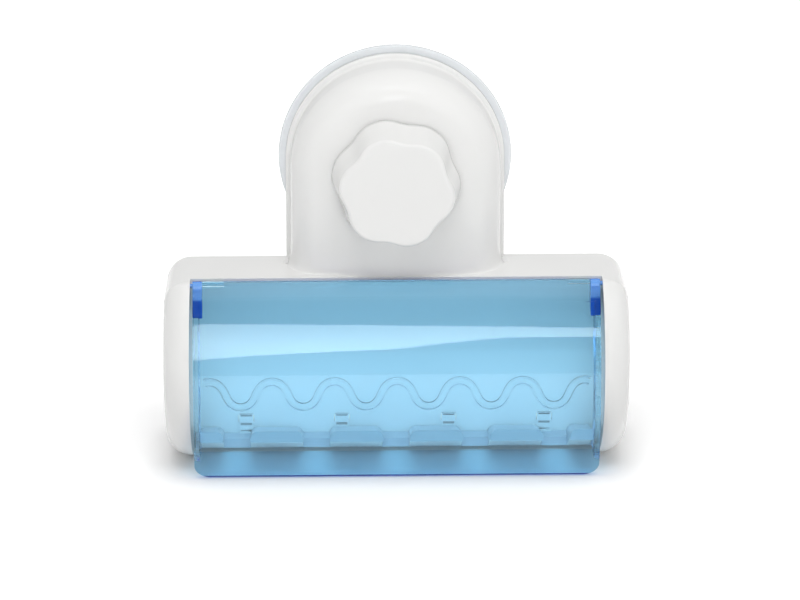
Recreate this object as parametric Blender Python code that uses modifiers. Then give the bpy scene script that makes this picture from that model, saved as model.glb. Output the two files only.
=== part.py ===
"""Toothbrush holder: suction-cup tower with a twist knob, half-round brush box and a clear flip-up cover.

Metres, +Z up. The origin is the centre of the suction cup on the wall plane (Y = 0) and the front
faces -Y. Outlines are written with "f", the distance forward of the wall, so Y = -f.
"""
import math

import bmesh
import bpy
from mathutils import Matrix, Vector

for old in list(bpy.data.objects):
    bpy.data.objects.remove(old, do_unlink=True)

product = bpy.data.collections.new("toothbrush_holder")
cutters = bpy.data.collections.new("cutters")
bpy.context.scene.collection.children.link(product)
bpy.context.scene.collection.children.link(cutters)
cutters.hide_render = True

# Shared clearances
fit_gap = 0.0003
press_gap = 0.00015
running_gap = 0.00008
overcut = 0.006
merge_distance = 0.00001

# Brush box
shell_back = 0.002
box_half_width = 0.0904
box_back_share = 0.9811
box_front = 0.047
roof_top = -0.041
box_bottom = -0.120
box_arc_radius = 0.045
box_arc_height = -0.076
roof_crease_radius = 0.0035
box_corner_radius = 0.010
wall = 0.0023
cheek_wall = 0.0025
cheek_width = 0.0104
cheek_inner_half = box_half_width - cheek_width
least_crease_radius = 0.0012
roof_front = 0.0262

# Tower
tower_radius = 0.0413
tower_lip_radius = 0.0423
tower_lip_front = 0.0046
tower_groove_radius = 0.0409
tower_groove_front = 0.0052
tower_fillet = 0.010
dome_front = 0.0295
dome_drop = 0.005
dome_reach = 0.041
tower_wall = 0.0024
tower_fillet_shares = (0.0, 0.02, 0.07, 0.15, 0.26, 0.40, 0.56, 0.76, 1.0)
tower_face_shares = (0.2, 0.45, 0.7, 1.0)

# Guide sleeve for the stem, inside the tower
sleeve_radius = 0.0084
sleeve_back = 0.0150
sleeve_bore = 0.0058
sleeve_flat = 0.0043
tower_hole = 0.0044

# Back plate
plate_thickness = 0.0022
plate_top = -0.0439
boss_radius = 0.0030
boss_offset = 0.0041
boss_half = cheek_inner_half * box_back_share + boss_offset
boss_front = 0.0200
boss_high_level = -0.060
boss_low_level = -0.104
pilot_radius = 0.0012
pilot_front = 0.0165

# Self-tapping screws
screw_head_radius = 0.0020
screw_head_height = 0.0011
screw_radius = 0.00105
screw_length = 0.0120
screw_tip_length = 0.0020
screw_tip_share = 0.35
screw_slot = 0.0006
screw_slot_depth = 0.0006

# Comb rack
rack_end_gap = 0.0002
rack_half_width = cheek_inner_half * box_back_share - rack_end_gap
rack_bar_top = -0.1143
rack_bar_bottom = -0.1180
rack_bar_front = 0.0110
finger_angle = math.radians(20)
finger_tip_front = 0.0380
finger_tip_top = -0.0997
finger_thickness = 0.0041
finger_edge_radius = 0.0028
finger_low_radius = 0.0005
finger_end_gap = 0.0005
slot_width = 0.0104
slot_count = 5
end_finger_width = 0.0088
clip_pitch_shares = (-1.887, -0.677, 0.677, 1.887)
clip_width = 0.0054
clip_thickness = 0.0011
clip_top = -0.1063
clip_barb = 0.0011
clip_barb_height = 0.0022
clip_barb_low = -0.1095
window_margin = 0.0004

# Flip cover
cover_end_gap = 0.0015
cover_half_width = cheek_inner_half - cover_end_gap
cover_sheet = 0.0020
cover_radius = 0.0625
cover_top = (0.0293, -0.0420)
cover_lip = (0.0363, -0.1198)
cover_corner_radius = 0.0063
cover_arc_steps = 28
flange_depth = 0.0080
flange_thickness = 0.0020
flange_bottom = -0.1120
rack_reach = cover_half_width - flange_thickness - finger_end_gap
slot_pitch = 2 * (rack_reach - end_finger_width - slot_width / 2) / (slot_count - 1)
clip_positions = [share * slot_pitch for share in clip_pitch_shares]
nub_radius = 0.0013
nub_height = 0.0004
nub_level = -0.0795
wave_pitch = 0.0241
wave_swing = 0.0043
wave_level = -0.0805
wave_width = 0.0036
wave_rise = 0.0006
wave_sink = 0.0005
wave_top_share = 0.6
wave_end_margin = 0.0050
wave_half_length = cover_half_width - wave_end_margin
wave_steps = 96

# Hinge
hinge_front = 0.0283
hinge_level = -0.0431
pin_radius = 0.0009
pin_in_lug = 0.0026
pin_in_cheek = 0.0017
pin_start = cover_half_width - pin_in_lug
pin_end = cheek_inner_half + pin_in_cheek
socket_end = pin_end + fit_gap
socket_boss_radius = 0.0019
socket_boss_length = 0.0066
socket_boss_end = cheek_inner_half + socket_boss_length
knuckle_radius = 0.0016
knuckle_length = 0.0085
lug_thickness = 0.0037
lug_depth = 0.0085
lug_length = 0.0130
lug_end_radius = 0.0038
lug_foot_length = 0.0030
lug_foot_depth = 0.0040

# Knob
knob_back = 0.0302
knob_front = 0.0447
knob_back_radius = 0.02385
knob_front_radius = 0.02130
knob_lobe = 0.00135
knob_lobes = 6
knob_lobe_angle = math.radians(50)
knob_edge = 0.0012
knob_wall = 0.0021
knob_steps = 96
knob_rib = 0.0012
hub_radius = 0.0085
hub_back = 0.0311
hub_socket_front = 0.0422

# Nut, retainer, washer
nut_circumradius = 0.00635
nut_back = 0.0336
nut_front = 0.0387
nut_bore = 0.00410
retainer_back = 0.0313
retainer_front = 0.0333
retainer_bore = 0.0045
washer_back = 0.0298
washer_front = 0.0308
washer_radius = 0.0080
washer_bore = 0.0045

# Stem and suction cup
stem_radius = 0.0040
stem_front = 0.0388
stem_tip_chamfer = 0.0006
stem_shoulder_radius = 0.0055
stem_shoulder_back = 0.0128
stem_shoulder_front = 0.0220
stem_flat = 0.0040
stem_neck_radius = 0.0039
foot_radius = 0.0085
foot_back = 0.0060
foot_front = 0.0080
cup_outer_profile = (
    (0.0450, 0.0003), (0.0448, 0.0013), (0.0442, 0.0016), (0.0395, 0.0017), (0.0360, 0.0024), (0.0290, 0.0040),
    (0.0200, 0.0061), (0.0125, 0.0074), (0.0112, 0.0086), (0.0105, 0.0118), (0.0099, 0.0124),
)
cup_inner_profile = (
    (0.0000, 0.0036), (0.0120, 0.0035), (0.0240, 0.0024), (0.0350, 0.0009), (0.0400, 0.0003), (0.0430, 0.0000),
    (0.0445, 0.0000),
)
round_steps = 64
small_steps = 24


def material(name, colour, roughness, alpha=1.0):
    """Make a plain Principled material."""
    made = bpy.data.materials.new(name)
    made.use_nodes = True
    shader = made.node_tree.nodes["Principled BSDF"]
    shader.inputs["Base Color"].default_value = (*colour, 1.0)
    shader.inputs["Roughness"].default_value = roughness
    shader.inputs["Alpha"].default_value = alpha
    made.diffuse_color = (*colour, alpha)
    return made


def make_object(name, mesh, home):
    """Put a mesh into the product or cutter collection under a name."""
    obj = bpy.data.objects.new(name, mesh)
    home.objects.link(obj)
    if home is cutters:
        obj.hide_render = True
        obj.display_type = "WIRE"
    return obj


def tidy(mesh):
    """Weld the mesh and turn its faces outwards."""
    shape = bmesh.new()
    shape.from_mesh(mesh)
    bmesh.ops.remove_doubles(shape, verts=shape.verts, dist=merge_distance)
    bmesh.ops.recalc_face_normals(shape, faces=shape.faces)
    shape.to_mesh(mesh)
    shape.free()


def prism(name, outline, axis, low, high, home=cutters):
    """Extrude an outline along X (points f, z), along f (points x, z) or along Z (points x, f)."""
    curve = bpy.data.curves.new(name, "CURVE")
    curve.dimensions = "2D"
    curve.fill_mode = "BOTH"
    curve.extrude = abs(high - low) / 2
    spline = curve.splines.new("POLY")
    spline.points.add(len(outline) - 1)
    for point, (across, up) in zip(spline.points, outline):
        point.co = (across, up, 0.0, 1.0)
    spline.use_cyclic_u = True
    draft = bpy.data.objects.new(name + "_curve", curve)
    bpy.context.scene.collection.objects.link(draft)
    bpy.context.view_layer.update()
    mesh = bpy.data.meshes.new_from_object(draft.evaluated_get(bpy.context.evaluated_depsgraph_get()))
    bpy.data.objects.remove(draft, do_unlink=True)
    middle = (low + high) / 2
    columns = {
        "X": (Vector((0, -1, 0)), Vector((0, 0, 1)), Vector((-1, 0, 0)), Vector((middle, 0, 0))),
        "F": (Vector((1, 0, 0)), Vector((0, 0, 1)), Vector((0, -1, 0)), Vector((0, -middle, 0))),
        "Z": (Vector((1, 0, 0)), Vector((0, -1, 0)), Vector((0, 0, -1)), Vector((0, 0, middle))),
    }[axis]
    turn = Matrix((columns[0], columns[1], columns[2])).transposed().to_4x4()
    mesh.transform(Matrix.Translation(columns[3]) @ turn)
    tidy(mesh)
    return make_object(name, mesh, home)


def block(name, x_range, f_range, z_range, home=cutters):
    """Make a plain box from its three ranges."""
    outline = (
        (x_range[0], z_range[0]), (x_range[1], z_range[0]),
        (x_range[1], z_range[1]), (x_range[0], z_range[1]),
    )
    return prism(name, outline, "F", f_range[0], f_range[1], home)


def rounded(corners, steps=8):
    """Round the corners of an outline given as (across, up, radius)."""
    points = []
    count = len(corners)
    for index, (across, up, radius) in enumerate(corners):
        here = Vector((across, up))
        if radius <= 0:
            points.append((across, up))
            continue
        before = (Vector(corners[index - 1][:2]) - here).normalized()
        after = (Vector(corners[(index + 1) % count][:2]) - here).normalized()
        half = before.angle(after) / 2
        centre = here + (before + after).normalized() * radius / math.sin(half)
        start = here + before * radius / math.tan(half) - centre
        finish = here + after * radius / math.tan(half) - centre
        sweep = start.angle_signed(finish)
        for step in range(steps + 1):
            angle = -sweep * step / steps
            turned = Vector((
                start.x * math.cos(angle) - start.y * math.sin(angle),
                start.x * math.sin(angle) + start.y * math.cos(angle),
            ))
            points.append(tuple(centre + turned))
    return points


def loft(name, rings, home=cutters, cap_ends=True):
    """Join closed rings of points (x, f, z) into one skin."""
    mesh = bpy.data.meshes.new(name)
    shape = bmesh.new()
    rows = [[shape.verts.new((x, -f, z)) for x, f, z in ring] for ring in rings]
    count = len(rows[0])
    for near, far in zip(rows, rows[1:]):
        for index in range(count):
            after = (index + 1) % count
            shape.faces.new((near[index], near[after], far[after], far[index]))
    if cap_ends:
        shape.faces.new(rows[0])
        shape.faces.new(list(reversed(rows[-1])))
    else:
        shape.faces.new(rows[0])
    shape.to_mesh(mesh)
    shape.free()
    tidy(mesh)
    return make_object(name, mesh, home)


def lathe(name, profile, home=cutters, steps=round_steps, closed=False):
    """Turn a profile of (radius, f) points about the stem axis."""
    mesh = bpy.data.meshes.new(name)
    edges = [(index, index + 1) for index in range(len(profile) - 1)]
    if closed:
        edges.append((len(profile) - 1, 0))
    mesh.from_pydata([(radius, -f, 0.0) for radius, f in profile], edges, [])
    obj = make_object(name, mesh, home)
    screw = obj.modifiers.new("turn", "SCREW")
    screw.axis = "Y"
    screw.steps = steps
    screw.render_steps = steps
    screw.use_merge_vertices = True
    screw.merge_threshold = merge_distance
    screw.use_smooth_shade = False
    solid = bpy.data.meshes.new_from_object(obj.evaluated_get(bpy.context.evaluated_depsgraph_get()))
    obj.modifiers.clear()
    obj.data = solid
    tidy(solid)
    return obj


def rod(name, axis, radius, centre, low, high, home=cutters, steps=small_steps):
    """Make a round bar along X (centre f, z) or along f (centre x, z)."""
    ring = [
        (centre[0] + radius * math.cos(2 * math.pi * step / steps),
         centre[1] + radius * math.sin(2 * math.pi * step / steps))
        for step in range(steps)
    ]
    return prism(name, ring, axis, low, high, home)


def combine(target, operation, *others):
    """Add exact Booleans with other solids to the target."""
    for other in others:
        step = target.modifiers.new(other.name, "BOOLEAN")
        step.operation = operation
        step.solver = "EXACT"
        step.object = other
    return target


def gather(name, solids):
    """Put separate solids into one mesh, so that one Boolean takes them all."""
    shape = bmesh.new()
    for solid in solids:
        shape.from_mesh(solid.data)
    mesh = bpy.data.meshes.new(name)
    shape.to_mesh(mesh)
    shape.free()
    return make_object(name, mesh, cutters)


def flare(obj):
    """Narrow a solid towards the wall, as the box does."""
    for vert in obj.data.vertices:
        depth_share = (box_front + vert.co.y) / (box_front - shell_back)
        vert.co.x *= 1 - depth_share * (1 - box_back_share)
    return obj


def dress(obj, finish):
    """Give a finished node its material."""
    obj.data.materials.clear()
    obj.data.materials.append(finish)
    return obj


white_abs = material("white_abs", (0.86, 0.87, 0.88), 0.32)
clear_blue = material("clear_blue", (0.38, 0.66, 0.90), 0.08, 0.45)
soft_clear = material("soft_clear_vinyl", (0.80, 0.88, 0.94), 0.15, 0.55)
brass = material("brass", (0.78, 0.60, 0.30), 0.35)
steel = material("zinc_steel", (0.62, 0.63, 0.65), 0.35)
white_nylon = material("white_nylon", (0.84, 0.84, 0.82), 0.45)


# Body shell, brush box part
def box_profile(inset, back):
    """Side outline of the box (f, z), drawn in from the outside by the inset."""
    radius = box_arc_radius - inset
    top = roof_top - inset
    bottom = box_bottom + inset
    reach = max(roof_crease_radius - inset, least_crease_radius)
    high = math.asin((top - box_arc_height) / radius)
    low = math.asin((bottom - box_arc_height) / radius)
    steps = 22
    last = high - 2 * reach / radius
    arc = [
        (shell_back + radius * math.cos(low + (last - low) * step / steps),
         box_arc_height + radius * math.sin(low + (last - low) * step / steps), 0)
        for step in range(steps + 1)
    ]
    crease = (shell_back + radius * math.cos(high), top, reach)
    return rounded([(back, top, 0), (back, bottom, 0), *arc, crease])


def box_solid(name, inset, back, home=cutters):
    """Half-round box whose two ends are rounded all the way round, drawn in by the inset."""
    fillet = box_corner_radius - inset
    steps = 6
    half = []
    for step in range(steps + 1):
        angle = math.pi / 2 * step / steps
        half.append((box_half_width - box_corner_radius + fillet * math.sin(angle),
                     inset + fillet * (1 - math.cos(angle))))
    rings = []
    for x, inward in [(-x, inward) for x, inward in reversed(half)] + half:
        rings.append([(x, f, z) for f, z in box_profile(inward, back)])
    return flare(loft(name, rings, home))


body_shell = box_solid("body_shell", 0, -overcut, product)
compartment = flare(prism("compartment", (
    (-overcut * 2, roof_top - wall), (-overcut * 2, box_bottom - overcut), (box_front + overcut, box_bottom - overcut),
    (box_front + overcut, roof_top + overcut), (roof_front, roof_top + overcut), (roof_front, roof_top - wall),
), "X", -cheek_inner_half, cheek_inner_half))
combine(body_shell, "DIFFERENCE", compartment)

cheek_cavity = box_solid("cheek_cavity", cheek_wall, -overcut * 2.5)
plate_seat_front = shell_back + plate_thickness + fit_gap
cavity_core = flare(block("cavity_core", (-cheek_inner_half - cheek_wall, cheek_inner_half + cheek_wall),
                          (plate_seat_front, box_front + overcut), (box_bottom - overcut, roof_top + overcut)))
combine(cheek_cavity, "DIFFERENCE", cavity_core)
screw_places = [(side * boss_half, level) for side in (-1, 1) for level in (boss_high_level, boss_low_level)]
for place in screw_places:
    boss = rod("boss", "F", boss_radius, place, plate_seat_front + fit_gap, boss_front)
    combine(cheek_cavity, "DIFFERENCE", boss)
for side in (-1, 1):
    reach = sorted((side * (cheek_inner_half - cheek_wall), side * socket_boss_end))
    socket_boss = rod("socket_boss", "X", socket_boss_radius, (hinge_front, hinge_level), *reach)
    combine(cheek_cavity, "DIFFERENCE", socket_boss)
combine(body_shell, "DIFFERENCE", cheek_cavity)


# Body shell, tower part
def dome(x, z, inset):
    """Forward distance of the domed tower face."""
    return dome_front - inset - dome_drop * (x * x + z * z) / dome_reach ** 2


def tower_ring(radius, bottom, forward):
    """One closed arch outline with the forward distance given by a function of x and z."""
    ring = []
    arc_steps = 28
    levels = 6
    for step in range(levels):
        ring.append((radius, bottom * (levels - step) / levels))
    for step in range(arc_steps + 1):
        angle = math.pi * step / arc_steps
        ring.append((radius * math.cos(angle), radius * math.sin(angle)))
    for step in range(1, levels + 1):
        ring.append((-radius, bottom * step / levels))
    return [(x, forward(x, z), z) for x, z in ring]


def tower_solid(name, inset, bottom, back_rings):
    """Arched tower with a filleted, domed front, drawn in by the inset."""
    outer = tower_radius - inset
    fillet = tower_fillet - inset
    rings = [tower_ring(radius, bottom, lambda x, z, f=f: f) for radius, f in back_rings]
    for share in tower_fillet_shares:
        inward = share * fillet
        drop = fillet - math.sqrt(max(fillet ** 2 - (fillet - inward) ** 2, 0))
        rings.append(tower_ring(outer - inward, bottom, lambda x, z, drop=drop: dome(x, z, inset) - drop))
    for share in tower_face_shares:
        inward = fillet + share * (outer - fillet)
        rings.append(tower_ring(outer - inward, bottom, lambda x, z: dome(x, z, inset)))
    return loft(name, rings, cap_ends=False)


tower_outer = tower_solid("tower_outer", 0, roof_top - wall / 2, (
    (tower_lip_radius, -overcut / 2),
    (tower_lip_radius, tower_lip_front),
    (tower_groove_radius, tower_lip_front),
    (tower_groove_radius, tower_groove_front),
    (tower_radius, tower_groove_front),
))
tower_inner = tower_solid("tower_inner", tower_wall, roof_top + fit_gap, (
    (tower_radius - tower_wall, -overcut),
))
back_trim = block("back_trim", (-box_half_width * 2, box_half_width * 2), (-overcut * 4, shell_back),
                  (box_bottom * 2, tower_radius * 2))
combine(body_shell, "UNION", tower_outer)
combine(body_shell, "DIFFERENCE", tower_inner, back_trim)

sleeve = rod("sleeve", "F", sleeve_radius, (0, 0), sleeve_back, dome_front - tower_wall / 2, steps=48)
sleeve_bore_cut = rod("sleeve_bore", "F", sleeve_bore, (0, 0), sleeve_back - overcut, dome_front - tower_wall, steps=48)
for side in (-1, 1):
    flat = block("sleeve_flat", (-sleeve_bore, sleeve_bore), (0, box_front),
                 sorted((side * sleeve_flat, side * (sleeve_flat + overcut))))
    combine(sleeve_bore_cut, "DIFFERENCE", flat)
front_hole = rod("front_hole", "F", tower_hole, (0, 0), sleeve_back, box_front, steps=48)
combine(body_shell, "UNION", sleeve)
combine(body_shell, "DIFFERENCE", sleeve_bore_cut, front_hole)

# Body shell, pilot holes and hinge sockets
for place in screw_places:
    pilot = rod("pilot", "F", pilot_radius, place, 0, pilot_front)
    combine(body_shell, "DIFFERENCE", pilot)
for side in (-1, 1):
    reach = sorted((side * (cheek_inner_half - overcut), side * socket_end))
    socket = rod("socket", "X", pin_radius + running_gap, (hinge_front, hinge_level), *reach)
    combine(body_shell, "DIFFERENCE", socket)
dress(body_shell, white_abs)

# Back plate
plate_half = (box_half_width - cheek_wall) * box_back_share - fit_gap
plate_bottom = box_bottom + cheek_wall + fit_gap
plate_corner = box_corner_radius - cheek_wall - fit_gap
back_plate = prism("back_plate", rounded([
    (plate_half, plate_top, plate_corner),
    (-plate_half, plate_top, plate_corner),
    (-plate_half, plate_bottom, plate_corner),
    (plate_half, plate_bottom, plate_corner),
]), "F", shell_back, shell_back + plate_thickness, product)
skirt = block("plate_skirt", (-rack_half_width, rack_half_width),
              (shell_back + fit_gap, shell_back + plate_thickness - fit_gap),
              (box_bottom + fit_gap, plate_bottom + wall))
combine(back_plate, "UNION", skirt)
seat_front = shell_back + screw_head_height + fit_gap
holes = [rod("plate_hole", "F", pilot_radius, place, -overcut, box_front) for place in screw_places]
seats = [rod("plate_seat", "F", screw_head_radius + fit_gap, place, -overcut, seat_front) for place in screw_places]
windows = [
    block("clip_window", (centre - clip_width / 2 - window_margin, centre + clip_width / 2 + window_margin),
          (-overcut, box_front), (clip_barb_low - window_margin, clip_barb_low + clip_barb_height + window_margin))
    for centre in clip_positions
]
combine(back_plate, "DIFFERENCE", gather("plate_holes", holes + windows), gather("plate_seats", seats))
dress(back_plate, white_abs)

# Screws
for number, place in enumerate(screw_places, 1):
    head_back = shell_back + screw_slot_depth / 4
    head_front = head_back + screw_head_height - screw_slot_depth / 4
    tip = head_front + screw_length
    screw = lathe(f"plate_screw_{number}", (
        (0, head_back), (screw_head_radius * 0.8, head_back), (screw_head_radius, head_back + screw_slot),
        (screw_head_radius, head_front), (screw_radius, head_front),
        (screw_radius, tip - screw_tip_length), (screw_radius * screw_tip_share, tip), (0, tip),
    ), product, small_steps)
    for turn_index in range(2):
        size = (screw_slot / 2, screw_head_radius * 0.65)
        half_x, half_z = size if turn_index else size[::-1]
        slot = block("drive_slot", (-half_x, half_x), (-overcut, head_back + screw_slot_depth), (-half_z, half_z))
        slot.location = (place[0], 0, place[1])
        combine(screw, "DIFFERENCE", slot)
    screw.location = (place[0], 0, place[1])
    dress(screw, steel)

# Comb rack
rack_back = shell_back + plate_thickness + fit_gap
comb_rack = block("comb_rack", (-rack_half_width, rack_half_width), (rack_back, rack_bar_front),
                  (rack_bar_bottom, rack_bar_top), product)
slot_edges = []
for number in range(slot_count):
    centre = (number - (slot_count - 1) / 2) * slot_pitch
    slot_edges += [centre - slot_width / 2, centre + slot_width / 2]
finger_edges = [-rack_reach, *slot_edges, rack_reach]
finger_reach = (finger_tip_front - rack_back) / math.cos(finger_angle)
for number in range(slot_count + 1):
    left, right = finger_edges[2 * number], finger_edges[2 * number + 1]
    left_radius = finger_edge_radius if number else finger_low_radius
    right_radius = finger_edge_radius if number < slot_count else finger_low_radius
    finger = prism("finger", rounded([
        (left, -finger_thickness, finger_low_radius), (right, -finger_thickness, finger_low_radius),
        (right, 0, right_radius), (left, 0, left_radius),
    ], 5), "F", -finger_reach, 0)
    tilt = Matrix.Rotation(-finger_angle, 4, "X")
    finger.data.transform(Matrix.Translation((0, -finger_tip_front, finger_tip_top)) @ tilt)
    combine(comb_rack, "UNION", finger)
rear_trim = block("rack_rear_trim", (-box_half_width, box_half_width), (-box_front, rack_back),
                  (box_bottom, rack_bar_top + box_front))
combine(comb_rack, "DIFFERENCE", rear_trim)
for centre in clip_positions:
    clip = prism("clip", (
        (rack_back, rack_bar_top - wall), (rack_back + clip_thickness, rack_bar_top - wall),
        (rack_back + clip_thickness, clip_top), (rack_back, clip_top),
        (rack_back, clip_barb_low + clip_barb_height),
        (rack_back - clip_barb, clip_barb_low + clip_barb_height / 2),
        (rack_back - clip_barb, clip_barb_low), (rack_back, clip_barb_low),
    ), "X", centre - clip_width / 2, centre + clip_width / 2)
    combine(comb_rack, "UNION", clip)
dress(comb_rack, white_abs)

# Flip cover: arc through the top and the lip, bulging forwards
chord = Vector(cover_lip) - Vector(cover_top)
middle = (Vector(cover_lip) + Vector(cover_top)) / 2
backwards = Vector((chord.y, -chord.x)).normalized()
cover_centre = middle + backwards * math.sqrt(cover_radius ** 2 - (chord.length / 2) ** 2)
angle_top = math.atan2(cover_top[1] - cover_centre.y, cover_top[0] - cover_centre.x)
angle_lip = math.atan2(cover_lip[1] - cover_centre.y, cover_lip[0] - cover_centre.x)


def arc_point(angle, radius):
    """Point (f, z) on the cover's arc."""
    return (cover_centre.x + radius * math.cos(angle), cover_centre.y + radius * math.sin(angle))


def arc_band(thickness, start, finish):
    """Side outline of a band of the cover between two arc angles."""
    angles = [start + (finish - start) * step / cover_arc_steps for step in range(cover_arc_steps + 1)]
    outer = [arc_point(angle, cover_radius) for angle in angles]
    inner = [arc_point(angle, cover_radius - thickness) for angle in reversed(angles)]
    return outer + inner


def angle_at(level):
    """Arc angle at a height on the cover."""
    return math.asin((level - cover_centre.y) / cover_radius)


flip_cover = prism("flip_cover", arc_band(cover_sheet, angle_top, angle_lip), "X",
                   -cover_half_width, cover_half_width, product)
corner_sides = prism("cover_corners", rounded([
    (cover_half_width, cover_top[1] + overcut, 0), (-cover_half_width, cover_top[1] + overcut, 0),
    (-cover_half_width, cover_lip[1], cover_corner_radius), (cover_half_width, cover_lip[1], cover_corner_radius),
]), "F", 0, box_front + overcut)
combine(flip_cover, "INTERSECT", corner_sides)
for side in (-1, 1):
    reach = sorted((side * (cover_half_width - flange_thickness), side * cover_half_width))
    flange = prism("flange", arc_band(flange_depth, angle_top - lug_length / 2 / cover_radius,
                                      angle_at(flange_bottom)), "X", *reach)
    combine(flip_cover, "UNION", flange)
lug_front = hinge_front + knuckle_radius / 2
for side in (-1, 1):
    reach = sorted((side * (cover_half_width - lug_thickness), side * cover_half_width))
    top = hinge_level - fit_gap - wall / 4
    lug = prism("lug", rounded([
        (lug_front + wall, hinge_level - knuckle_radius, 0),
        (hinge_front, hinge_level - knuckle_radius / 2, 0),
        (hinge_front - lug_depth + lug_end_radius, top - wall / 2, lug_end_radius / 2),
        (hinge_front - lug_depth + lug_end_radius / 2, hinge_level - lug_length + lug_end_radius / 2,
         lug_end_radius / 2),
        (hinge_front, hinge_level - lug_length, lug_end_radius / 2),
        (lug_front + lug_foot_depth, hinge_level - lug_length - lug_foot_length, 0),
    ], 5), "X", *reach)
    barrel = rod("barrel", "X", knuckle_radius, (hinge_front, hinge_level),
                 *sorted((side * (cover_half_width - lug_thickness - knuckle_length), side * cover_half_width)))
    combine(flip_cover, "UNION", lug, barrel)
    bore = rod("pin_bore", "X", pin_radius + running_gap, (hinge_front, hinge_level),
               *sorted((side * (pin_start - fit_gap), side * box_half_width)))
    combine(flip_cover, "DIFFERENCE", bore)
    nub_angle = angle_at(nub_level)
    nub_centre = arc_point(nub_angle, cover_radius - flange_depth / 2)
    nub = rod("nub", "X", nub_radius, nub_centre,
              *sorted((side * (cover_half_width - flange_thickness / 2), side * (cover_half_width + nub_height))))
    combine(flip_cover, "UNION", nub)


# Embossed wave on the cover
def cover_point(x, along, height):
    """Point over the cover at a distance along the arc below the wave's middle."""
    angle = angle_at(wave_level) - along / cover_radius
    f, z = arc_point(angle, cover_radius + height)
    return (x, f, z)


wave_rings = []
for step in range(wave_steps + 1):
    x = -wave_half_length + 2 * wave_half_length * step / wave_steps
    phase = 2 * math.pi * x / wave_pitch
    along = -wave_swing * math.cos(phase)
    slope = wave_swing * math.sin(phase) * 2 * math.pi / wave_pitch
    across = Vector((-slope, 1)).normalized() * wave_width / 2
    ring = []
    for share, height in ((-1, -wave_sink), (1, -wave_sink), (wave_top_share, wave_rise), (-wave_top_share, wave_rise)):
        ring.append(cover_point(x + across.x * share, along + across.y * share, height))
    wave_rings.append(ring)
wave_rib = loft("wave_rib", wave_rings)
combine(flip_cover, "UNION", wave_rib)
dress(flip_cover, clear_blue)

# The cover turns about the pin axis, so its origin sits there
hinge_point = Vector((0, -hinge_front, hinge_level))
for side, name in ((-1, "hinge_pin_left"), (1, "hinge_pin_right")):
    pin = rod(name, "X", pin_radius, (hinge_front, hinge_level),
              *sorted((side * pin_start, side * pin_end)), product)
    dress(pin, clear_blue)


# Knob
def knob_ring(radius, lobe, f):
    """Closed ring with gentle lobes."""
    ring = []
    for step in range(knob_steps):
        angle = 2 * math.pi * step / knob_steps
        reach = radius + lobe * math.cos(knob_lobes * (angle - knob_lobe_angle))
        ring.append((reach * math.cos(angle), f, reach * math.sin(angle)))
    return ring


edge_shares = (0.0, 0.3, 0.6, 0.85, 1.0)
knob_rings = [knob_ring(knob_back_radius, knob_lobe, knob_back)]
for share in edge_shares:
    angle = share * math.pi / 2
    knob_rings.append(knob_ring(knob_front_radius - knob_edge * (1 - math.cos(angle)), knob_lobe,
                                knob_front - knob_edge * (1 - math.sin(angle))))
knob = loft("knob", knob_rings, product)
knob_cavity = loft("knob_cavity", [
    knob_ring(knob_back_radius - knob_wall, knob_lobe, knob_back - overcut),
    knob_ring(knob_front_radius - knob_wall, knob_lobe, knob_front - knob_wall),
])
hub_keep = rod("hub_keep", "F", hub_radius, (0, 0), hub_back, knob_front, steps=48)
combine(knob_cavity, "DIFFERENCE", hub_keep)
for number in range(knob_lobes // 2):
    rib = block("knob_rib", (-knob_back_radius * 2, knob_back_radius * 2),
                (hub_back + knob_wall, knob_front), (-knob_rib / 2, knob_rib / 2))
    rib.data.transform(Matrix.Rotation(number * 2 * math.pi / knob_lobes, 4, "Y"))
    combine(knob_cavity, "DIFFERENCE", rib)
combine(knob, "DIFFERENCE", knob_cavity)
nut_pocket = rod("nut_pocket", "F", nut_circumradius + press_gap, (0, 0), hub_back - overcut,
                 nut_front + press_gap, steps=6)
stem_pocket = rod("stem_pocket", "F", nut_bore + press_gap, (0, 0), hub_back, hub_socket_front, steps=48)
combine(knob, "DIFFERENCE", nut_pocket, stem_pocket)
dress(knob, white_abs)

knob_nut = rod("knob_nut", "F", nut_circumradius, (0, 0), nut_back, nut_front, product, 6)
combine(knob_nut, "DIFFERENCE", rod("nut_bore", "F", nut_bore, (0, 0), 0, box_front, steps=48))
dress(knob_nut, brass)

nut_retainer = rod("nut_retainer", "F", nut_circumradius, (0, 0), retainer_back, retainer_front, product, 6)
combine(nut_retainer, "DIFFERENCE", rod("retainer_bore", "F", retainer_bore, (0, 0), 0, box_front, steps=48))
dress(nut_retainer, white_nylon)

thrust_washer = lathe("thrust_washer", (
    (washer_bore, washer_back), (washer_radius, washer_back), (washer_radius, washer_front), (washer_bore, washer_front),
), product, closed=True)
dress(thrust_washer, white_nylon)

# Stem
cup_stem = lathe("cup_stem", (
    (0, foot_back), (foot_radius, foot_back), (foot_radius, foot_front), (stem_neck_radius, foot_front),
    (stem_neck_radius, stem_shoulder_back), (stem_shoulder_radius, stem_shoulder_back),
    (stem_shoulder_radius, stem_shoulder_front), (stem_radius, stem_shoulder_front),
    (stem_radius, stem_front - stem_tip_chamfer), (stem_radius - stem_tip_chamfer, stem_front), (0, stem_front),
), product)
for side in (-1, 1):
    flat = block("stem_flat", (-foot_radius, foot_radius), (stem_shoulder_back - fit_gap / 3, stem_shoulder_front + fit_gap),
                 sorted((side * stem_flat, side * (stem_flat + overcut))))
    combine(cup_stem, "DIFFERENCE", flat)
dress(cup_stem, white_nylon)

# Suction cup, moulded round the stem's foot
foot_cavity = (
    (stem_neck_radius + press_gap, cup_outer_profile[-1][1]),
    (stem_neck_radius + press_gap, foot_front + press_gap),
    (foot_radius + press_gap, foot_front + press_gap),
    (foot_radius + press_gap, foot_back - press_gap),
    (0, foot_back - press_gap),
)
suction_cup = lathe("suction_cup", (*cup_inner_profile, *cup_outer_profile, *foot_cavity), product)
dress(suction_cup, soft_clear)

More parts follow.
